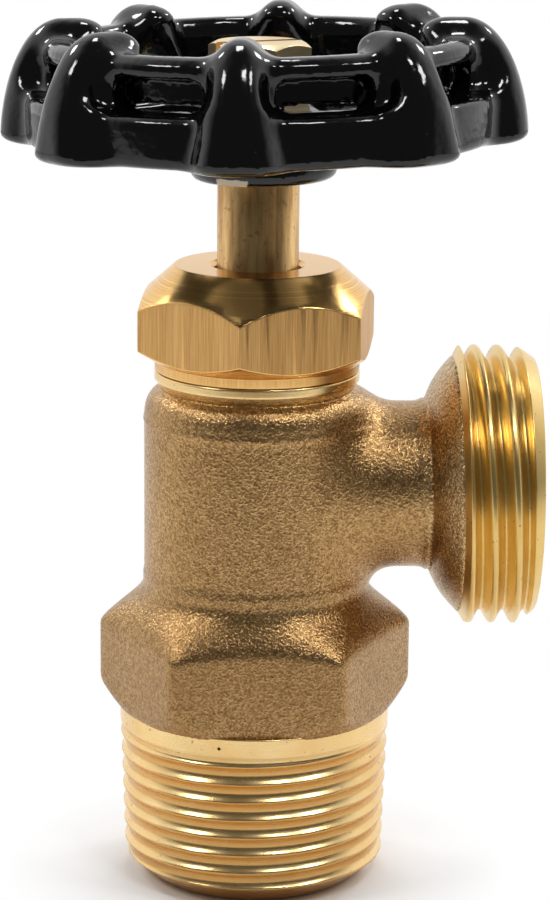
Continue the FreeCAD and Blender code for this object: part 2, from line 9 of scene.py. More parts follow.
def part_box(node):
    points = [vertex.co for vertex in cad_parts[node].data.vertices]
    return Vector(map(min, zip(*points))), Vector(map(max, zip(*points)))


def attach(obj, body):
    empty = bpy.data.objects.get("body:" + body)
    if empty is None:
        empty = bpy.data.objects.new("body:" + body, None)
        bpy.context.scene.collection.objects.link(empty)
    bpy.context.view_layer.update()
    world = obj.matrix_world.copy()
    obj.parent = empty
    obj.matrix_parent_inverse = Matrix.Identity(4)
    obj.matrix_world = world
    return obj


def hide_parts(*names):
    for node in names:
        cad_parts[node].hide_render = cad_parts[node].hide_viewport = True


# A boiler drain valve in brass with a black enamelled handwheel. Sizes are in millimetres and
# become metres when a mesh is made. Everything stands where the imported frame's nodes stand:
# the stem's axis is Z, the hose outlet points along X and the photograph looks along Y.

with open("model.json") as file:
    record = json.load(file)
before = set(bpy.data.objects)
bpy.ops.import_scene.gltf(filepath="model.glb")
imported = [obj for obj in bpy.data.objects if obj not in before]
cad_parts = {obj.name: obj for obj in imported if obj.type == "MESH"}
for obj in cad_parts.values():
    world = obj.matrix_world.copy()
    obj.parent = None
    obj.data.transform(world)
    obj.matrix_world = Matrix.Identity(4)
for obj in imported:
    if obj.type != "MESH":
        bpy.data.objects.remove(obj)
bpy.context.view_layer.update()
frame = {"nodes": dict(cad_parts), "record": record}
MM = 0.001
INCH = 25.4

hub_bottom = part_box("handwheel")[0][2] / MM
outlet_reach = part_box("valve_body")[1][0] / MM
outlet_height = next(entry["pos_m"][2] for entry in frame["record"]["mounts"]
                     if entry["name"] == "outlet_socket") / MM

# Handwheel as it stands at rest: degrees about the stem, degrees of lean, millimetres off centre
WHEEL_TURN = -7.2
WHEEL_LEAN = 1.3
WHEEL_OFFSET = 0.5

# Handwheel's rim. Heights, here and below, are above the foot of its skirt.
RIM_FOOT = 3.3  # above the hub's underside
RIM_HEIGHT = 11.8
BOTTOM_CUT = 0.25
SKIRT_RADIUS, SKIRT_HEIGHT, SKIRT_ROUND = 22.2, 5.1, 1.4
GALLERY_RADIUS, GALLERY_BOTTOM, GALLERY_TOP = 20.0, 3.0, 9.2
BAR_RADIUS, BAR_HEIGHT, BAR_ROUND, BAR_FLAT = 18.7, 9.0, 1.1, 0.4
BASIN_HEIGHTS = [3.0, 4.2, 5.6, 5.9]
BASIN_RADII = [20.0, 18.2, 18.2, 17.3]
SKIRT_EDGE, BAR_FILLET, BASIN_EDGE, BOTTOM_EDGE = 1.0, 0.8, 0.9, 0.9

# Its lobes
LOBES = 8
LOBE_TIP, LOBE_BULGE, LOBE_TUCK = 18.8, 6.2, 2.0
LOBE_BACK, LOBE_BACK_ROUND, LOBE_BACK_FALL = 14.9, 2.6, 1.5
LOBE_HALF, LOBE_SPREAD, LOBE_DOME = 2.4, 1.3, 2.9
LOBE_EDGE, LOBE_FILLET, LOBE_FOOT_FILLET = 2.8, 1.3, 2.8
DISH_DEPTH, DISH_RADIUS, DISH_HEIGHT, DISH_WIDTH, DISH_RISE = 0.4, 21.0, 6.5, 2.0, 3.0
UNDER_LOBE_HEIGHTS = [3.0, 4.2, 6.3, 7.1, 7.9, 8.7, 9.5, 10.3]
UNDER_LOBE_RADII = [20.0, 18.2, 17.3, 16.6, 16.0, 15.5, 15.1, 14.5]

# Its windows, spokes and hub
WINDOW_HALF, WINDOW_HEIGHT, WINDOW_ROUND, WINDOW_BACK = 3.1, 6.75, 1.45, 18.1
SPOKES = 4
SPOKE_HALF, SPOKE_THICK, SPOKE_REACH = 2.2, 1.3, 20.8
SPOKE_LIFT, SPOKE_CLIMB, SPOKE_FOOT, SPOKE_SPAN = 2.6, 1.2, 21.0, 15.0
HUB_RADIUS, HUB_HEIGHT, HUB_BORE = 6.95, 9.0, 3.9
WINDOW_EDGE, SPOKE_EDGE, SPOKE_END_EDGE, HUB_EDGE, HUB_FILLET = 0.4, 1.0, 0.5, 1.0, 1.2

# Pale patch on the hub's lower rim: its middle across the front, half width and height
PALE_PATCH_MIDDLE, PALE_PATCH_HALF, PALE_PATCH_HEIGHT = -2.6, 1.7, 0.9

# Casting: its wrench hexagon, whose front and back flats stand closer than the other four
HEX_BOTTOM, HEX_TOP = 16.9, 29.6
HEX_FRONT, HEX_SIDE = 12.6, 13.35
HEX_COS, HEX_SIN = 0.866, 0.5
HEX_UNDER_RADIUS, HEX_UNDER_SLOPE = 13.2, 0.92
HEX_EDGE, HEX_EDGE_GROWTH, HEX_UNDER_EDGE = 0.9, 5.0, 0.5
SHOULDER_START, SHOULDER_RISE, SHOULDER_RADIUS = 25.0, 4.2, 10.2
SHOULDER_DIP, SHOULDER_DIP_HALF, SHOULDER_FILLET = 0.8, 8.7, 1.4

# Its barrel, with a faint bead below the rounded top
BARREL_RADIUS, BARREL_BOTTOM, BARREL_TOP = 10.85, 20.0, 49.6
BARREL_ROUND_START, BARREL_ROUND_RISE, BARREL_ROUND_IN = 45.9, 2.6, 1.65
BEAD_HEIGHT, BEAD_HALF, BEAD_RISE = 45.6, 0.25, 0.1

# Its side arm and the flare behind the hose thread
ARM_RADIUS, ARM_START, ARM_END, ARM_FILLET = 8.05, 2.0, 20.0, 3.0
FLARE_START, FLARE_END, FLARE_RUN = 16.6, 19.5, 2.6
FLARE_RADIUS, FLARE_GROWTH, FLARE_FILLET = 7.7, 4.7, 1.4
OUTLET_LEAN = 0.025

# Its water ways
INLET_BORE, INLET_BORE_TOP = 9.0, 18.0
SEAT_BORE, SEAT_RADIUS, SEAT_HEIGHT = 4.2, 5.3, 28.5
CHAMBER_RADIUS, CHAMBER_BOTTOM, CHAMBER_TOP = 8.3, 26.0, 44.2
NECK_BORE, NECK_BORE_BOTTOM = 7.05, 44.0
ARM_BORE = 5.0

# Inlet: tapered pipe thread on the spigot, whose outline is given as (radius, height)
INLET_PITCH = INCH / 14
INLET_CREST, INLET_THREAD_TOP, INLET_THREAD_START = 13.2, 15.4, 0.4
INLET_THREAD_DEPTH, INLET_RUN_OUT = 0.5, 0.9
INLET_TAPER = 1 / 32
SPIGOT_TOP = 17.2
SPIGOT_OUTLINE = [(INLET_BORE, SPIGOT_TOP), (INLET_CREST, SPIGOT_TOP),
                  (INLET_CREST, INLET_THREAD_TOP + 0.05), (12.72, 2.0), (10.3, 0.0),
                  (INLET_BORE, 0.0)]

# Outlet: hose thread, whose outline is given as (radius, reach)
HOSE_PITCH = INCH / 11.5
HOSE_CREST, HOSE_THREAD_START, HOSE_THREAD_DEPTH = 13.5, 21.45, 1.25
HOSE_RUN_IN, HOSE_RUN_IN_LENGTH = 19.9, 0.5
HOSE_BORE, HOSE_BACK = 9.5, 18.6
HOSE_OUTLINE = [(HOSE_BORE, HOSE_BACK), (11.6, HOSE_BACK), (12.2, 19.2), (13.4, 19.85),
                (HOSE_CREST, 20.1), (HOSE_CREST, outlet_reach - 1.6), (12.3, outlet_reach),
                (HOSE_BORE, outlet_reach)]
HOSE_LEAN_LENGTH = 3

# Neck, from the undercut over the barrel to its mouth, as (radius, height)
UNDERCUT, COLLAR, COLLAR_EDGE, COLLAR_TOP = 9.2, 9.87, 9.82, 50.36
NECK_THREAD, NECK_BOTTOM, NECK_TOP = 8.95, 48.0, 57.35
NECK_OUTLINE = [(NECK_BORE, NECK_BOTTOM), (UNDERCUT, NECK_BOTTOM), (UNDERCUT, 48.5),
                (COLLAR_EDGE, 49.5), (COLLAR, 49.56), (COLLAR, 50.3),
                (COLLAR_EDGE, COLLAR_TOP), (NECK_THREAD, COLLAR_TOP), (NECK_THREAD, 57.0),
                (8.6, NECK_TOP), (NECK_BORE, NECK_TOP)]

# Meshes: lowest and highest corner and cell of a field's net, and counts around and along a grid
WHEEL_NET = (-26.3, -25.9, 68.2), (26.3, 25.9, 85.0), 0.4
CASTING_NET = (-16.2, -13.6, 16.3), (20.4, 13.6, 52.4), 0.3
SPIGOT_GRID, HOSE_GRID, NECK_GRID = (240, 380), (240, 300), (160, 200)

# Pinhole in the band over the inlet's thread, painted as a dark spot of shade, and the height where
# the painted shade on the thread's down-facing sides ends
PINHOLE = (-3.6, 16.2)
DOWN_SHADE_TOP = 15.2

# Camera, fitted to the threads, the nut and the wheel: pixels, millimetres and angles
FOCAL_PX, IMAGE_PX, SENSOR = 3042.5, 900, 36.0
CAMERA_DISTANCE, CAMERA_HEIGHT = 286.14, 112.04
CAMERA_PITCH, CAMERA_AZIMUTH = math.radians(13.7), math.radians(1.3)
CAMERA_AIM, CAMERA_ROLL = 0.0063, 0.0098

# Lamps: name, direction from the object, size in metres and power
LAMPS = [
    ("top", (0.0, 0.3, 0.95), 0.08, 0.4),
    ("top_front", (0.25, -0.5, 0.83), 0.07, 0.35),
    ("left_front", (-0.66, -0.3, 0.68), 0.08, 0.38),
    ("left_back", (-0.6, 0.45, 0.66), 0.07, 0.3),
    ("right_front", (0.62, -0.35, 0.7), 0.08, 0.38),
    ("right_back", (0.6, 0.45, 0.66), 0.07, 0.3),
]
LAMP_AIM = Vector((0, 0, 0.05))
LAMP_DISTANCE = 0.45

# Floor in metres, a hair below the object, and where it runs out into the white, in millimetres
FLOOR_HALF, FLOOR_FRONT, FLOOR_BACK, FLOOR_GAP = 0.5, 0.2, 0.5, 0.0002
FLOOR_FADE_START, FLOOR_FADE_END = 12, 25


def smooth_min(a, b, reach):
    """Polynomial blend of two distances: a fillet of about that reach where they meet."""
    share = np.clip(0.5 + 0.5 * (b - a) / reach, 0, 1)
    return b + (a - b) * share - reach * share * (1 - share)


def smooth_max(a, b, reach):
    """The same blend for an intersection, or for a cut with one distance negated."""
    return -smooth_min(-a, -b, reach)


def slab(value, low, high):
    """Signed distance to the space between two values along one direction."""
    return np.maximum(low - value, value - high)


def quarter_round(share):
    """Drop of a quarter circle: 0 where the share is 0, and 1 where it is 1."""
    return 1 - np.sqrt(1 - share ** 2)


def net(field, low, high, step):
    """Surface of a field's zero set as vertices and quads.

    The field is sampled on a grid. Each cell that the surface crosses gets one vertex, at the
    mean of the crossings on its edges, and each crossed edge gets the quad that joins its four
    cells. The vertices then slide along the gradient onto the surface.
    """
    axes = [np.arange(a, b + step, step) for a, b in zip(low, high)]
    value = field(*np.meshgrid(*axes, indexing="ij"))
    inside = value < 0
    cells = tuple(n - 1 for n in value.shape)
    total = np.zeros(cells + (3,))
    count = np.zeros(cells)
    edges = []
    for axis in range(3):
        others = [a for a in range(3) if a != axis]
        near = [slice(None)] * 3
        far = [slice(None)] * 3
        near[axis] = slice(0, -1)
        far[axis] = slice(1, None)
        here, there = value[tuple(near)], value[tuple(far)]
        crossed = inside[tuple(near)] != inside[tuple(far)]
        share = np.where(crossed, here / np.where(crossed, here - there, 1), 0)
        edges.append((axis, crossed, inside[tuple(near)]))
        for first in (0, 1):
            for second in (0, 1):
                cut = [slice(None)] * 3
                cut[others[0]] = slice(first, cells[others[0]] + first)
                cut[others[1]] = slice(second, cells[others[1]] + second)
                hit = crossed[tuple(cut)]
                count += hit
                total[..., axis] += share[tuple(cut)]
                total[..., others[0]] += first * hit
                total[..., others[1]] += second * hit
    used = count > 0
    number = np.full(cells, -1)
    number[used] = np.arange(used.sum())
    corner = np.argwhere(used)
    points = (corner + total[used] / count[used][:, None]) * step + np.array(low)
    quads = [quads_across(*edge, number, cells) for edge in edges]
    for _ in range(3):
        points = slide(points, field, 0.2 * step)
    return points, np.concatenate(quads)


def quads_across(axis, crossed, was_inside, number, cells):
    """One quad for each crossed grid edge along an axis, wound so that it faces outwards."""
    first, second = (axis + 1) % 3, (axis + 2) % 3
    spots = np.argwhere(crossed)
    inner = (spots[:, first] > 0) & (spots[:, second] > 0)
    inner &= (spots[:, first] < cells[first]) & (spots[:, second] < cells[second])
    spots = spots[inner]
    ring = []
    for down, back in ((-1, -1), (0, -1), (0, 0), (-1, 0)):
        at = spots.copy()
        at[:, first] += down
        at[:, second] += back
        ring.append(number[tuple(at.T)])
    quad = np.stack(ring, 1)
    flip = ~was_inside[tuple(spots.T)]
    quad[flip] = quad[flip][:, ::-1]
    return quad


def slide(points, field, reach):
    """One step of each point along the field's gradient towards its zero set."""
    value = field(*points.T)
    slope = np.empty_like(points)
    for axis in range(3):
        nudge = np.zeros(3)
        nudge[axis] = reach
        slope[:, axis] = (field(*(points + nudge).T) - field(*(points - nudge).T)) / (2 * reach)
    steep = np.maximum((slope ** 2).sum(1), 0.05)
    move = (value / steep)[:, None] * slope
    length = np.linalg.norm(move, axis=1, keepdims=True)
    return points - move * np.minimum(1, 2 * reach / np.maximum(length, 1e-9))


def wrap(points_of, around, along):
    """Quads of a grid that is closed both ways, with points_of(turn, share) giving x, y, z."""
    turn = np.arange(around) * 2 * np.pi / around
    share = np.arange(along) / along
    points = np.stack(points_of(*np.meshgrid(turn, share, indexing="ij")), -1).reshape(-1, 3)
    i, j = np.meshgrid(np.arange(around), np.arange(along), indexing="ij")
    i2, j2 = (i + 1) % around, (j + 1) % along
    quads = np.stack([i * along + j, i2 * along + j, i2 * along + j2, i * along + j2], -1)
    return points, quads.reshape(-1, 4)


def make(name, points, faces, material, body, slot, node):
    """Smooth mesh object from points in millimetres, on a body, in place of a CAD node."""
    data = bpy.data.meshes.new(name)
    data.from_pydata((points * MM).tolist(), [], faces.tolist())
    data.polygons.foreach_set("use_smooth", np.ones(len(faces), bool))
    data.update()
    data.materials.append(material)
    piece = bpy.data.objects.new(name, data)
    bpy.context.scene.collection.objects.link(piece)
    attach(piece, body)
    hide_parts(node)


class Sock:
    """A shader socket, or a number, with arithmetic that adds Math nodes."""

    def __init__(self, tree, value):
        self.tree = tree
        self.value = value

    def math(self, operation, *others):
        node = self.tree.nodes.new("ShaderNodeMath")
        node.operation = operation
        for socket, item in zip(node.inputs, (self,) + others):
            item = item.value if isinstance(item, Sock) else item
            if isinstance(item, (int, float)):
                socket.default_value = item
            else:
                self.tree.links.new(item, socket)
        return Sock(self.tree, node.outputs[0])

    def __add__(self, other):
        return self.math("ADD", other)

    def __radd__(self, other):
        return self.math("ADD", other)

    def __sub__(self, other):
        return self.math("SUBTRACT", other)

    def __rsub__(self, other):
        return Sock(self.tree, other).math("SUBTRACT", self)

    def __mul__(self, other):
        return self.math("MULTIPLY", other)

    def __rmul__(self, other):
        return self.math("MULTIPLY", other)

    def __truediv__(self, other):
        return self.math("DIVIDE", other)

    def __gt__(self, other):
        return self.math("GREATER_THAN", other)

    def __abs__(self):
        return self.math("ABSOLUTE")

    def clip(self):
        return self.math("MAXIMUM", 0.0).math("MINIMUM", 1.0)

    def ramp(self, low, high):
        """Straight climb from 0 at low to 1 at high."""
        return ((self - low) / (high - low)).clip()


class Finish:
    """A material with one Principled shader, and one method that adds any other node."""

    def __init__(self, name, **constants):
        self.material = bpy.data.materials.new(name)
        self.material.use_nodes = True
        self.tree = self.material.node_tree
        self.shader = self.tree.nodes["Principled BSDF"]
        for socket, value in constants.items():
            self.shader.inputs[socket.replace("_", " ")].default_value = value

    def add(self, kind, settings=None, out=0, **inputs):
        """A node with its settings and its sockets set, by name or as _number; gives an output."""
        node = self.tree.nodes.new("ShaderNode" + kind)
        for key, value in (settings or {}).items():
            setattr(node, key, value)
        for key, value in inputs.items():
            socket = node.inputs[int(key[1:])] if key[0] == "_" else node.inputs[key]
            value = value.value if isinstance(value, Sock) else value
            if isinstance(value, bpy.types.NodeSocket):
                self.tree.links.new(value, socket)
            else:
                socket.default_value = value
        return Sock(self.tree, node.outputs[out])

    def place(self):
        """Object coordinates as a vector in metres."""
        return self.add("TexCoord", out=3)

    def axes(self, vector):
        """The three parts of a vector, in millimetres."""
        node = self.tree.nodes.new("ShaderNodeSeparateXYZ")
        self.tree.links.new(vector.value, node.inputs[0])
        return [Sock(self.tree, node.outputs[i]) * (1 / MM) for i in range(3)]

    def upward(self):
        """How far the surface faces up: 1 on a floor, 0 on a wall."""
        return self.axes(self.add("NewGeometry", out=1))[2] * MM

    def noise(self, vector, size, detail=2.0, rough=0.5, stretch=None):
        """Noise whose cells are about that many millimetres across, from 0 to 1."""
        if stretch:
            vector = self.add("Mapping", _0=vector, _3=stretch)
        return self.add("TexNoise", Vector=vector, Scale=1 / (size * MM), Detail=detail,
                        Roughness=rough)

    def rings(self, along, pitch):
        """Tool marks about that many millimetres apart along one direction, from 0 to 1."""
        return self.add("TexNoise", {"noise_dimensions": "1D"}, W=along / pitch, Scale=1.0,
                        Detail=2.0)

    def mix(self, factor, first, second):
        """Colour mix."""
        return self.add("Mix", {"data_type": "RGBA"}, 2, _0=factor, _6=first, _7=second)

    def bump(self, height, depth, strength):
        """Bump of a height from 0 to 1 that stands for that depth in millimetres."""
        return self.add("Bump", Strength=strength, Distance=depth * MM, Height=height)

    def drive(self, **links):
        """Link values to the Principled shader's own sockets."""
        for socket, value in links.items():
            self.tree.links.new(value.value, self.shader.inputs[socket.replace("_", " ")])
        return self.material


def rgb(red, green, blue):
    """Linear colour from display values of 0 to 255."""
    return tuple(((v / 255 + 0.055) / 1.055) ** 2.4 if v > 10 else v / 255 / 12.92
                 for v in (red, green, blue)) + (1.0,)


def cast_brass():
    """Sand cast brass: fine pitted grain, darker in its hollows and low down, and a painted
    highlight that lightens the flare.
    """
    f = Finish("cast_brass", Metallic=1.0)
    place = f.place()
    grain = f.noise(place, 0.22)
    coarse = f.noise(place, 0.5)
    patches = f.noise(place, 9.0)
    height = grain * 0.7 + coarse * 0.3
    hollow = height.ramp(0.36, 0.6)
    x, _, z = f.axes(place)
    tint = f.mix(patches.ramp(0.35, 0.65), rgb(196, 156, 104), rgb(210, 170, 115))
    tint = f.mix(0.35 * (1 - z.ramp(22, 38)), tint, rgb(148, 115, 76))
    # painted highlight: the flare behind the hose thread is lightened towards pale cream, standing
    # in for light falling on it
    tint = f.mix(0.55 * x.ramp(15.5, 17.5), tint, rgb(232, 204, 152))
    colour = f.mix(hollow, rgb(136, 102, 62), tint)
    rough = 0.3 - 0.04 * hollow
    return f.drive(Base_Color=colour, Roughness=rough, Normal=f.bump(height, 0.13, 1.0))


def machined_brass(name, colour, pale, roughness, axis="z", pipe_thread=False):
    """Machined brass with tool marks round an axis.

    On the pipe thread it also has one pinhole, painted as a dark spot of shade, and painted shade
    that browns the sides that face down.
    """
    f = Finish(name, Metallic=1.0)
    place = f.place()
    x, y, z = f.axes(place)
    marks = f.rings(x if axis == "x" else z, 0.12)
    patches = f.noise(place, 5.0, 3.0, 0.6)
    specks = f.noise(place, 0.5, 1.0).ramp(0.71, 0.76)
    tint = f.mix(patches.ramp(0.3, 0.7), colour, pale)
    tint = f.mix(specks * 0.5, tint, rgb(110, 78, 40))
    if pipe_thread:
        # pinhole: a dark spot painted where the shade inside a small pit would be, on the front
        # only
        away = (abs(x - PINHOLE[0]) + abs(z - PINHOLE[1])).ramp(0.14, 0.26)
        tint = f.mix((1 - away) * (-1 * y > 0.0), tint, rgb(30, 18, 8))
        # painted shade: the thread's down-facing sides are browned, below the band over the thread
        down_facing_shade = (1 - z.ramp(DOWN_SHADE_TOP - 1, DOWN_SHADE_TOP)) * (1 - f.upward().ramp(0.2, 0.45))
        tint = f.mix(down_facing_shade * 0.75, tint, rgb(208, 156, 86))
    rough = roughness + 0.06 * marks + 0.05 * patches
    return f.drive(Base_Color=tint, Roughness=rough, Normal=f.bump(marks, 0.004, 0.35))


def drawn_flats():
    """Hexagon bar: upright brush lines on the flats and turned rings on the cone above."""
    f = Finish("nut_brass", Metallic=1.0)
    place = f.place()
    lines = f.noise(place, 0.11, stretch=(1.0, 1.0, 0.02))
    broad = f.noise(place, 1.6, stretch=(1.0, 1.0, 0.05))
    flat = 1 - abs(f.upward()).ramp(0.1, 0.3)
    streak = (lines * 0.7 + broad * 0.3).ramp(0.3, 0.7)
    flats = f.mix(streak, rgb(200, 146, 84), rgb(244, 198, 128))
    rings = f.rings(f.axes(place)[2], 0.15)
    turned = f.mix(rings.ramp(0.3, 0.7), rgb(228, 176, 100), rgb(242, 200, 130))
    colour = f.mix(flat, turned, flats)
    rough = 0.2 + 0.05 * rings + flat * (0.16 + 0.08 * streak)
    return f.drive(Base_Color=colour, Roughness=rough, Normal=f.bump(lines * flat, 0.01, 0.25))


def stem_brass():
    """Turned brass, a little tarnished in upright streaks and spots."""
    f = Finish("stem_brass", Metallic=1.0)
    place = f.place()
    streaks = f.noise(place, 1.3, 4.0, 0.65, (1.0, 1.0, 0.12))
    spots = f.noise(place, 0.7, 2.0, 0.6).ramp(0.6, 0.72)
    colour = f.mix(streaks.ramp(0.35, 0.65), rgb(250, 210, 146), rgb(186, 136, 80))
    colour = f.mix(spots * 0.5, colour, rgb(140, 98, 56))
    rough = 0.29 + 0.2 * streaks
    return f.drive(Base_Color=colour, Roughness=rough, Normal=f.bump(streaks, 0.01, 0.3))


def black_enamel():
    """Thick glossy black enamel: slight orange peel, specks of dust and one pale, rougher patch on
    the hub's lower rim.
    """
    f = Finish("black_enamel")
    place = f.place()
    peel = f.noise(place, 2.6)
    fine = f.noise(place, 0.9, 1.0)
    dust = f.noise(place, 0.5, 1.0, 0.4).ramp(0.79, 0.82)
    colour = f.mix(dust * 0.5, (0.002, 0.002, 0.002, 1.0), (0.05, 0.05, 0.052, 1.0))
    x, y, z = f.axes(place)
    # pale, rougher patch on the front of the hub's lower rim, with a ragged edge
    ragged = 0.5 * f.noise(place, 0.8)
    pale_patch = (abs(x - PALE_PATCH_MIDDLE) + ragged).ramp(PALE_PATCH_HALF + 0.05, PALE_PATCH_HALF - 0.1)
    pale_patch = pale_patch * (z + ragged - hub_bottom).ramp(PALE_PATCH_HEIGHT + 0.05, PALE_PATCH_HEIGHT - 0.05)
    pale_patch = pale_patch * (-1 * y > 0.0)
    colour = f.mix(pale_patch, colour, rgb(214, 198, 172))
    rough = 0.07 + 0.06 * peel + 0.3 * dust + 0.35 * pale_patch
    return f.drive(Base_Color=colour, Roughness=rough,
                   Normal=f.bump(peel * 0.75 + fine * 0.25, 0.14, 0.7))


def plain(name, colour, metallic, roughness, size):
    """A simple finish for what is hidden inside, with some variation."""
    f = Finish(name, Metallic=metallic)
    blotch = f.noise(f.place(), size, 3.0, 0.6)
    dark = tuple(0.6 * c for c in colour[:3]) + (1.0,)
    tint = f.mix(blotch, dark, colour)
    return f.drive(Base_Color=tint, Roughness=roughness + 0.15 * blotch,
                   Normal=f.bump(blotch, 0.02, 0.4))


def level_wheel(x, z):
    """The wheel sits a little askew on its square: undo its lean and its offset."""
    lean = math.radians(WHEEL_LEAN)
    x = x - WHEEL_OFFSET
    z = z - hub_bottom
    return (x * math.cos(lean) + z * math.sin(lean),
            z * math.cos(lean) - x * math.sin(lean) + hub_bottom)


def from_nearest(turn, copies):
    """Angle from the nearest of some evenly spaced directions, the first of which is at 0."""
    step = 2 * np.pi / copies
    return (turn + step / 2) % step - step / 2


def wheel_lobe(radius, from_lobe, h):
    """Signed distance to the nearest lobe: a slot with round ends at every height.

    Its outer end swells towards the foot, its top is a dome, and its back is cut by a basin.
    """
    across = np.abs(radius * np.sin(from_lobe))
    out = radius * np.cos(from_lobe)
    rise = np.clip(h / RIM_HEIGHT, 0, 1)
    foot = np.clip(1 - h / SKIRT_ROUND, 0, 1)
    dome = np.clip((h - RIM_HEIGHT + LOBE_DOME) / LOBE_DOME, 0, 1)
    fall = np.clip((h - RIM_HEIGHT + LOBE_BACK_FALL) / LOBE_BACK_FALL, 0, 1)
    outer = (LOBE_TIP + LOBE_BULGE * (1 - rise ** 2) ** 0.47
             - LOBE_TUCK * quarter_round(foot))
    inner = LOBE_BACK + LOBE_BACK_ROUND * quarter_round(fall)
    half = (LOBE_HALF + LOBE_SPREAD * (1 - rise) ** 1.6) * (1 - quarter_round(dome))
    half = np.minimum(half, 0.45 * (outer - inner)) + 1e-2
    dish = DISH_DEPTH * np.exp(-((out - DISH_RADIUS) / DISH_WIDTH) ** 2
                               - ((h - DISH_HEIGHT) / DISH_RISE) ** 2)
    past_end = np.abs(out - (outer + inner) / 2) - (outer - inner) / 2
    lobe = smooth_max(across - half + dish, past_end, np.minimum(LOBE_EDGE, 1.1 * half))
    lobe = np.maximum(lobe, h - RIM_HEIGHT)
    under = radius - np.interp(h, UNDER_LOBE_HEIGHTS, UNDER_LOBE_RADII)
    return smooth_max(lobe, -under, BASIN_EDGE)


def wheel_shell(radius, h):
    """Signed distance to the ring without lobes: skirt, gallery wall and bar round a basin."""
    foot = np.clip(1 - h / SKIRT_ROUND, 0, 1)
    skirt = smooth_max(radius - SKIRT_RADIUS + 0.5 * foot ** 2.5, slab(h, 0.0, SKIRT_HEIGHT),
                       SKIRT_EDGE)
    gallery = np.maximum(radius - GALLERY_RADIUS, slab(h, GALLERY_BOTTOM, GALLERY_TOP))
    bar = np.hypot(np.maximum(np.abs(radius - BAR_RADIUS) - BAR_FLAT, 0), h - BAR_HEIGHT)
    wall = smooth_min(skirt, gallery, SKIRT_EDGE)
    shell = smooth_min(wall, bar - BAR_ROUND, BAR_FILLET)
    basin = radius - np.interp(h, BASIN_HEIGHTS, BASIN_RADII)
    return smooth_max(shell, -basin, BASIN_EDGE)


def lobed_wheel(x, y, z):
    """Signed distance to the handwheel.

    Shell and lobes blend into each other, and a window is cut between each two lobes. Spokes
    and hub, which carries the round bore, are blended on last.
    """
    x, z = level_wheel(x, z)
    h = z - hub_bottom - RIM_FOOT
    radius = np.hypot(x, y)
    turn = np.arctan2(y, x) - np.radians(WHEEL_TURN)
    bay = np.pi / LOBES
    fillet = np.interp(h, [0, RIM_HEIGHT], [LOBE_FOOT_FILLET, LOBE_FILLET])
    lobe = wheel_lobe(radius, from_nearest(turn, LOBES), h)
    shell = smooth_min(wheel_shell(radius, h), lobe, fillet)
    shell = smooth_max(shell, BOTTOM_CUT - h, BOTTOM_EDGE)
    side = np.abs(radius * np.sin(from_nearest(turn - bay, LOBES)))
    pill = np.hypot(np.maximum(side - WINDOW_HALF, 0), h - WINDOW_HEIGHT) - WINDOW_ROUND
    shell = smooth_max(shell, -np.maximum(pill, WINDOW_BACK - radius), WINDOW_EDGE)
    from_spoke = from_nearest(turn - bay, SPOKES)
    beside = np.abs(radius * np.sin(from_spoke)) - SPOKE_HALF
    run = radius * np.cos(from_spoke)
    lift = SPOKE_LIFT + SPOKE_CLIMB * np.clip((SPOKE_FOOT - run) / SPOKE_SPAN, 0, 1)
    spoke = smooth_max(beside, np.abs(h - lift) - SPOKE_THICK, SPOKE_EDGE)
    spoke = smooth_max(spoke, run - SPOKE_REACH, SPOKE_END_EDGE)
    hub = smooth_max(radius - HUB_RADIUS, slab(z, hub_bottom, hub_bottom + HUB_HEIGHT), HUB_EDGE)
    solid = smooth_min(smooth_min(shell, spoke, HUB_FILLET), hub, HUB_FILLET)
    return np.maximum(solid, HUB_BORE - radius)


def wrench_hexagon(x, y, z, radius):
    """Signed distance to the hexagon, whose flats turn into a round shoulder as they climb."""
    front = np.abs(y) - HEX_FRONT
    right = np.abs(HEX_COS * x + HEX_SIN * y) - HEX_SIDE
    left = np.abs(HEX_COS * x - HEX_SIN * y) - HEX_SIDE
    dip = np.clip((x / SHOULDER_DIP_HALF) ** 2 * (np.abs(y) / HEX_FRONT) ** 4, 0, 1)
    climb = np.clip((z - SHOULDER_START + SHOULDER_DIP * dip) / SHOULDER_RISE, 0, 1) ** 1.5
    edge = HEX_EDGE + HEX_EDGE_GROWTH * climb
    hexagon = smooth_max(smooth_max(front, right, edge), left, edge)
    shoulder = hexagon + (radius - SHOULDER_RADIUS - hexagon) * climb
    under = radius - HEX_UNDER_RADIUS - (z - HEX_BOTTOM) * HEX_UNDER_SLOPE
    low = smooth_max(shoulder, under * 0.74, HEX_UNDER_EDGE)
    return np.maximum(low, slab(z, HEX_BOTTOM, HEX_TOP))


def barrel(z, radius):
    """Signed distance to the upright barrel, with its bead and its rounded top."""
    taper = np.clip((z - BARREL_ROUND_START) / BARREL_ROUND_RISE, 0, 1)
    column = (radius - BARREL_RADIUS
              + BARREL_ROUND_IN * (1 - np.sqrt(np.clip(1 - taper ** 2.2, 0, 1)))
              - BEAD_RISE * np.exp(-((z - BEAD_HEIGHT) / BEAD_HALF) ** 2))
    return np.maximum(column, slab(z, BARREL_BOTTOM, BARREL_TOP))


def side_arm(x, z, from_arm):
    """Signed distance to the side arm, which flares out behind the hose thread."""
    arm = np.maximum(from_arm - ARM_RADIUS, slab(x, ARM_START, ARM_END))
    along = x + OUTLET_LEAN * (z - outlet_height)
    growth = np.clip((along - FLARE_START) / FLARE_RUN, 0, 1) ** 0.55
    flare = (from_arm - FLARE_RADIUS - FLARE_GROWTH * growth) * 0.7
    flare = np.maximum(flare, slab(along, FLARE_START, FLARE_END))
    return smooth_min(arm, flare, FLARE_FILLET)


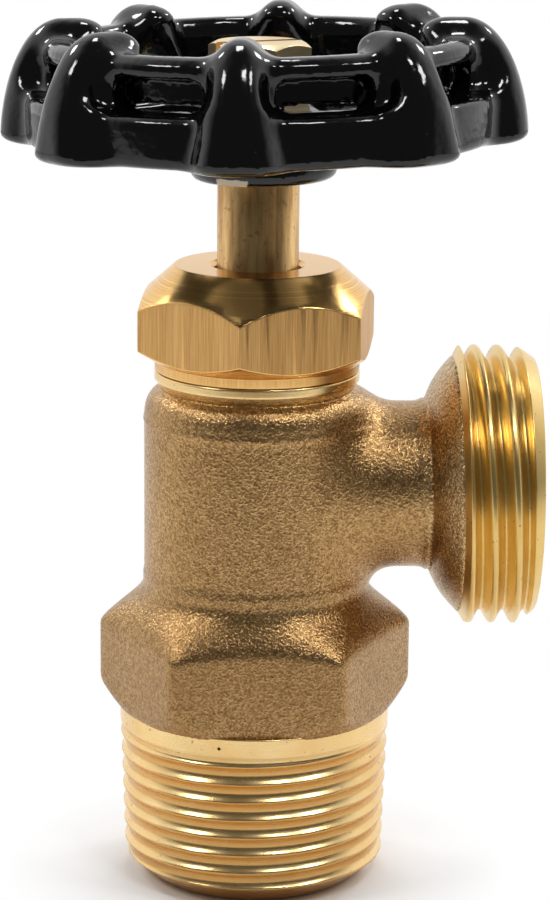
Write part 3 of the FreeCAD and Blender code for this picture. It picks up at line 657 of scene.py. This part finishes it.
def water_ways(x, z, radius, from_arm):
    """Signed distance to the space inside: inlet, seat, chamber round the seat, neck and arm."""
    bore = np.maximum(radius - INLET_BORE, z - INLET_BORE_TOP)
    seat = np.maximum(radius - SEAT_BORE, z - SEAT_HEIGHT)
    lip = np.maximum(radius - SEAT_RADIUS, z - SEAT_HEIGHT)
    chamber = np.maximum(radius - CHAMBER_RADIUS, slab(z, CHAMBER_BOTTOM, CHAMBER_TOP))
    chamber = np.maximum(chamber, -lip)
    way = np.maximum(from_arm - ARM_BORE, -x)
    neck = np.maximum(radius - NECK_BORE, NECK_BORE_BOTTOM - z)
    return np.minimum.reduce([bore, seat, chamber, way, neck])


def casting(x, y, z):
    """Signed distance to the cast part of the body: hexagon, barrel and arm, less the ways."""
    radius = np.hypot(x, y)
    from_arm = np.hypot(y, z - outlet_height)
    solid = smooth_min(wrench_hexagon(x, y, z, radius), barrel(z, radius), SHOULDER_FILLET)
    solid = smooth_min(solid, side_arm(x, z, from_arm), ARM_FILLET)
    return np.maximum(solid, -water_ways(x, z, radius, from_arm))


def vee_wave(phase, crest=0.14, root=0.07):
    """Depth share of a vee thread: 0 on the crest, 1 in the root, for a phase in turns."""
    from_crest = np.abs((phase + 0.5) % 1.0 - 0.5)
    share = np.clip((from_crest - crest / 2) / (0.5 - crest / 2 - root / 2), 0, 1)
    return share - 0.06 * np.sin(2 * np.pi * share)


def hollow_wave(phase, crest=0.06):
    """Depth share of a worn thread: thin crests with a wide round hollow between them."""
    from_crest = np.abs((phase + 0.5) % 1.0 - 0.5)
    rise = np.clip((from_crest - crest / 2) / (0.5 - crest / 2), 0, 1)
    return 1 - (1 - rise) ** 2


def polyline(corners, share):
    """Point at a share of the way round a closed outline, by its length."""
    corners = np.array(corners + corners[:1], float)
    steps = np.hypot(*np.diff(corners, axis=0).T)
    along = np.concatenate([[0], np.cumsum(steps)]) / steps.sum()
    return np.interp(share, along, corners[:, 0]), np.interp(share, along, corners[:, 1])


def spigot_points(turn, share):
    """Inlet spigot: a closed profile carried round the stem axis, with its helical thread.

    The crests lie on a cone that widens upwards, and the thread runs out below the hexagon.
    """
    radius, height = polyline(SPIGOT_OUTLINE, share)
    phase = (height - INLET_THREAD_START) / INLET_PITCH - turn / (2 * np.pi)
    below = INLET_THREAD_TOP - height
    fade = np.clip(below / INLET_RUN_OUT, 0, 1)
    cut = INLET_CREST - below * INLET_TAPER - INLET_THREAD_DEPTH * hollow_wave(phase) * fade
    radius = np.where(radius > INLET_BORE + 0.6, np.minimum(radius, cut), radius)
    return radius * np.cos(turn), radius * np.sin(turn), height


def outlet_points(turn, share):
    """Hose outlet: the same kind of profile carried round the outlet axis, with a slight lean."""
    radius, along = polyline(HOSE_OUTLINE, share)
    phase = (along - HOSE_THREAD_START) / HOSE_PITCH - turn / (2 * np.pi)
    fade = np.clip((along - HOSE_RUN_IN) / HOSE_RUN_IN_LENGTH, 0, 1)
    cut = HOSE_CREST - HOSE_THREAD_DEPTH * vee_wave(phase) * fade
    radius = np.where(radius > HOSE_BORE + 0.5, np.minimum(radius, cut), radius)
    up = radius * np.cos(turn)
    side = radius * np.sin(turn)
    lean = OUTLET_LEAN * np.clip((outlet_reach - along) / HOSE_LEAN_LENGTH, 0, 1)
    return along - lean * up, -side, outlet_height + up


def neck_points(turn, share):
    """Undercut, collar and threaded neck: their closed outline carried round the stem axis."""
    radius, height = polyline(NECK_OUTLINE, share)
    return radius * np.cos(turn), radius * np.sin(turn), height


def soften(node, width, material):
    """Give a CAD node its finish, with its sharp edges broken by a small round."""
    piece = frame["nodes"][node]
    piece.data.materials.clear()
    piece.data.materials.append(material)
    weld = piece.modifiers.new("weld", "WELD")
    weld.merge_threshold = 0.002 * MM
    bevel = piece.modifiers.new("edges", "BEVEL")
    bevel.width = width * MM
    bevel.segments = 2
    bevel.limit_method = "ANGLE"
    bevel.angle_limit = math.radians(28)
    bevel.harden_normals = False


def lamp(name, direction, size, power):
    """A square area lamp at the lamps' distance in that direction, aimed at the object."""
    data = bpy.data.lights.new(name, "AREA")
    data.shape = "RECTANGLE"
    data.size = data.size_y = size
    data.energy = power
    light = bpy.data.objects.new(name, data)
    bpy.context.scene.collection.objects.link(light)
    light.location = LAMP_AIM + Vector(direction).normalized() * LAMP_DISTANCE
    light.rotation_euler = (LAMP_AIM - light.location).to_track_quat("-Z", "Y").to_euler()


def camera():
    """The photograph's camera."""
    data = bpy.data.cameras.new("camera")
    data.sensor_width = SENSOR
    data.lens = FOCAL_PX / IMAGE_PX * SENSOR
    data.clip_start, data.clip_end = 0.01, 20
    level = math.cos(CAMERA_PITCH)
    forward = Vector((math.sin(CAMERA_AIM) * level, math.cos(CAMERA_AIM) * level,
                      -math.sin(CAMERA_PITCH)))
    right = Vector((math.cos(CAMERA_AIM), -math.sin(CAMERA_AIM), 0))
    up = right.cross(forward)
    cosine, sine = math.cos(CAMERA_ROLL), math.sin(CAMERA_ROLL)
    right, up = cosine * right + sine * up, cosine * up - sine * right
    pose = Matrix((right, up, -forward)).transposed().to_4x4()
    pose.translation = Vector((0, -CAMERA_DISTANCE, CAMERA_HEIGHT)) * MM
    view = bpy.data.objects.new("camera", data)
    bpy.context.scene.collection.objects.link(view)
    view.matrix_world = Matrix.Rotation(-CAMERA_AZIMUTH, 4, "Z") @ pose
    bpy.context.scene.camera = view


def backdrop():
    """White behind the object and for the camera, a darker room in front and overhead."""
    scene = bpy.context.scene
    scene.view_settings.view_transform = "Standard"
    world = bpy.data.worlds.new("studio")
    scene.world = world
    world.use_nodes = True
    tree = world.node_tree
    seen = Sock(tree, tree.nodes.new("ShaderNodeLightPath").outputs["Is Camera Ray"])
    parts = tree.nodes.new("ShaderNodeSeparateXYZ")
    tree.links.new(tree.nodes.new("ShaderNodeTexCoord").outputs["Generated"], parts.inputs[0])
    back = Sock(tree, parts.outputs["Y"]).ramp(-0.3, 0.2)
    low = 1 - Sock(tree, parts.outputs["Z"]).ramp(0.78, 0.96)
    room = 0.1 + 0.9 * back * low
    strength = (seen + (1 - seen) * room).clip()
    shader = tree.nodes["Background"]
    tree.links.new(strength.value, shader.inputs["Strength"])
    shader.inputs["Color"].default_value = (1, 1, 1, 1)


def pale_floor():
    """Pale floor that keeps the object's shadow and runs out into the white of the backdrop."""
    f = Finish("floor", Base_Color=(0.92, 0.92, 0.92, 1), Roughness=0.7)
    x, y, _ = f.axes(f.place())
    away = (x * x + y * y).math("SQRT").ramp(FLOOR_FADE_START, FLOOR_FADE_END)
    glow = f.add("Emission", Color=(1, 1, 1, 1), Strength=1.0)
    seen = f.add("LightPath")
    blend = f.add("MixShader", _0=away * seen, _1=Sock(f.tree, f.shader.outputs[0]), _2=glow)
    f.tree.links.new(blend.value, f.tree.nodes["Material Output"].inputs["Surface"])
    return f.material


def floor():
    """The floor that the object stands on."""
    corners = [(-FLOOR_HALF, -FLOOR_FRONT, 0), (FLOOR_HALF, -FLOOR_FRONT, 0),
               (FLOOR_HALF, FLOOR_BACK, 0), (-FLOOR_HALF, FLOOR_BACK, 0)]
    data = bpy.data.meshes.new("floor")
    data.from_pydata(corners, [], [(0, 1, 2, 3)])
    data.materials.append(pale_floor())
    ground = bpy.data.objects.new("floor", data)
    ground.location.z = -FLOOR_GAP
    bpy.context.scene.collection.objects.link(ground)


def casting_pieces():
    """The body: one cast skin and three machined stretches."""
    threads = machined_brass("thread_brass", rgb(238, 198, 132), rgb(248, 216, 156), 0.21,
                             pipe_thread=True)
    hose = machined_brass("hose_brass", rgb(226, 190, 116), rgb(238, 208, 142), 0.24, "x")
    body = net(casting, *CASTING_NET)
    for name, mesh, material in (
            ("body_casting", body, cast_brass()),
            ("inlet_spigot", wrap(spigot_points, *SPIGOT_GRID), threads),
            ("hose_outlet", wrap(outlet_points, *HOSE_GRID), hose),
            ("neck_collar", wrap(neck_points, *NECK_GRID), threads)):
        make(name, *mesh, material, "casting", "cast_brass", "valve_body")


def wheel_pieces():
    """The enamelled handwheel."""
    rim = net(lobed_wheel, *WHEEL_NET)
    make("enamelled_wheel", *rim, black_enamel(), "spindle", "black_enamel", "handwheel")


def node_finishes():
    """Finishes of the CAD nodes that keep their own shape."""
    turned = machined_brass("turned_brass", rgb(206, 160, 90), rgb(220, 180, 112), 0.22)
    screw = machined_brass("screw_brass", rgb(230, 204, 156), rgb(240, 220, 178), 0.28)
    soften("packing_nut", 0.14, drawn_flats())
    soften("stem", 0.08, stem_brass())
    soften("wheel_screw", 0.12, screw)
    for node in ("gland", "packing_base_washer", "disc_holder", "washer_screw"):
        soften(node, 0.06, turned)
    steel = plain("spring_wire", rgb(150, 150, 152), 1.0, 0.3, 0.8)
    for node in ("swivel_ring", "wheel_washer"):
        soften(node, 0.04, steel)
    graphite = plain("packing", rgb(70, 70, 74), 0.0, 0.6, 0.6)
    for node in ("upper_packing_ring", "lower_packing_ring"):
        soften(node, 0.1, graphite)
    soften("seat_washer", 0.12, plain("seat_rubber", rgb(40, 40, 40), 0.0, 0.65, 0.5))


camera()
backdrop()
floor()
for lamp_values in LAMPS:
    lamp(*lamp_values)
casting_pieces()
wheel_pieces()
node_finishes()
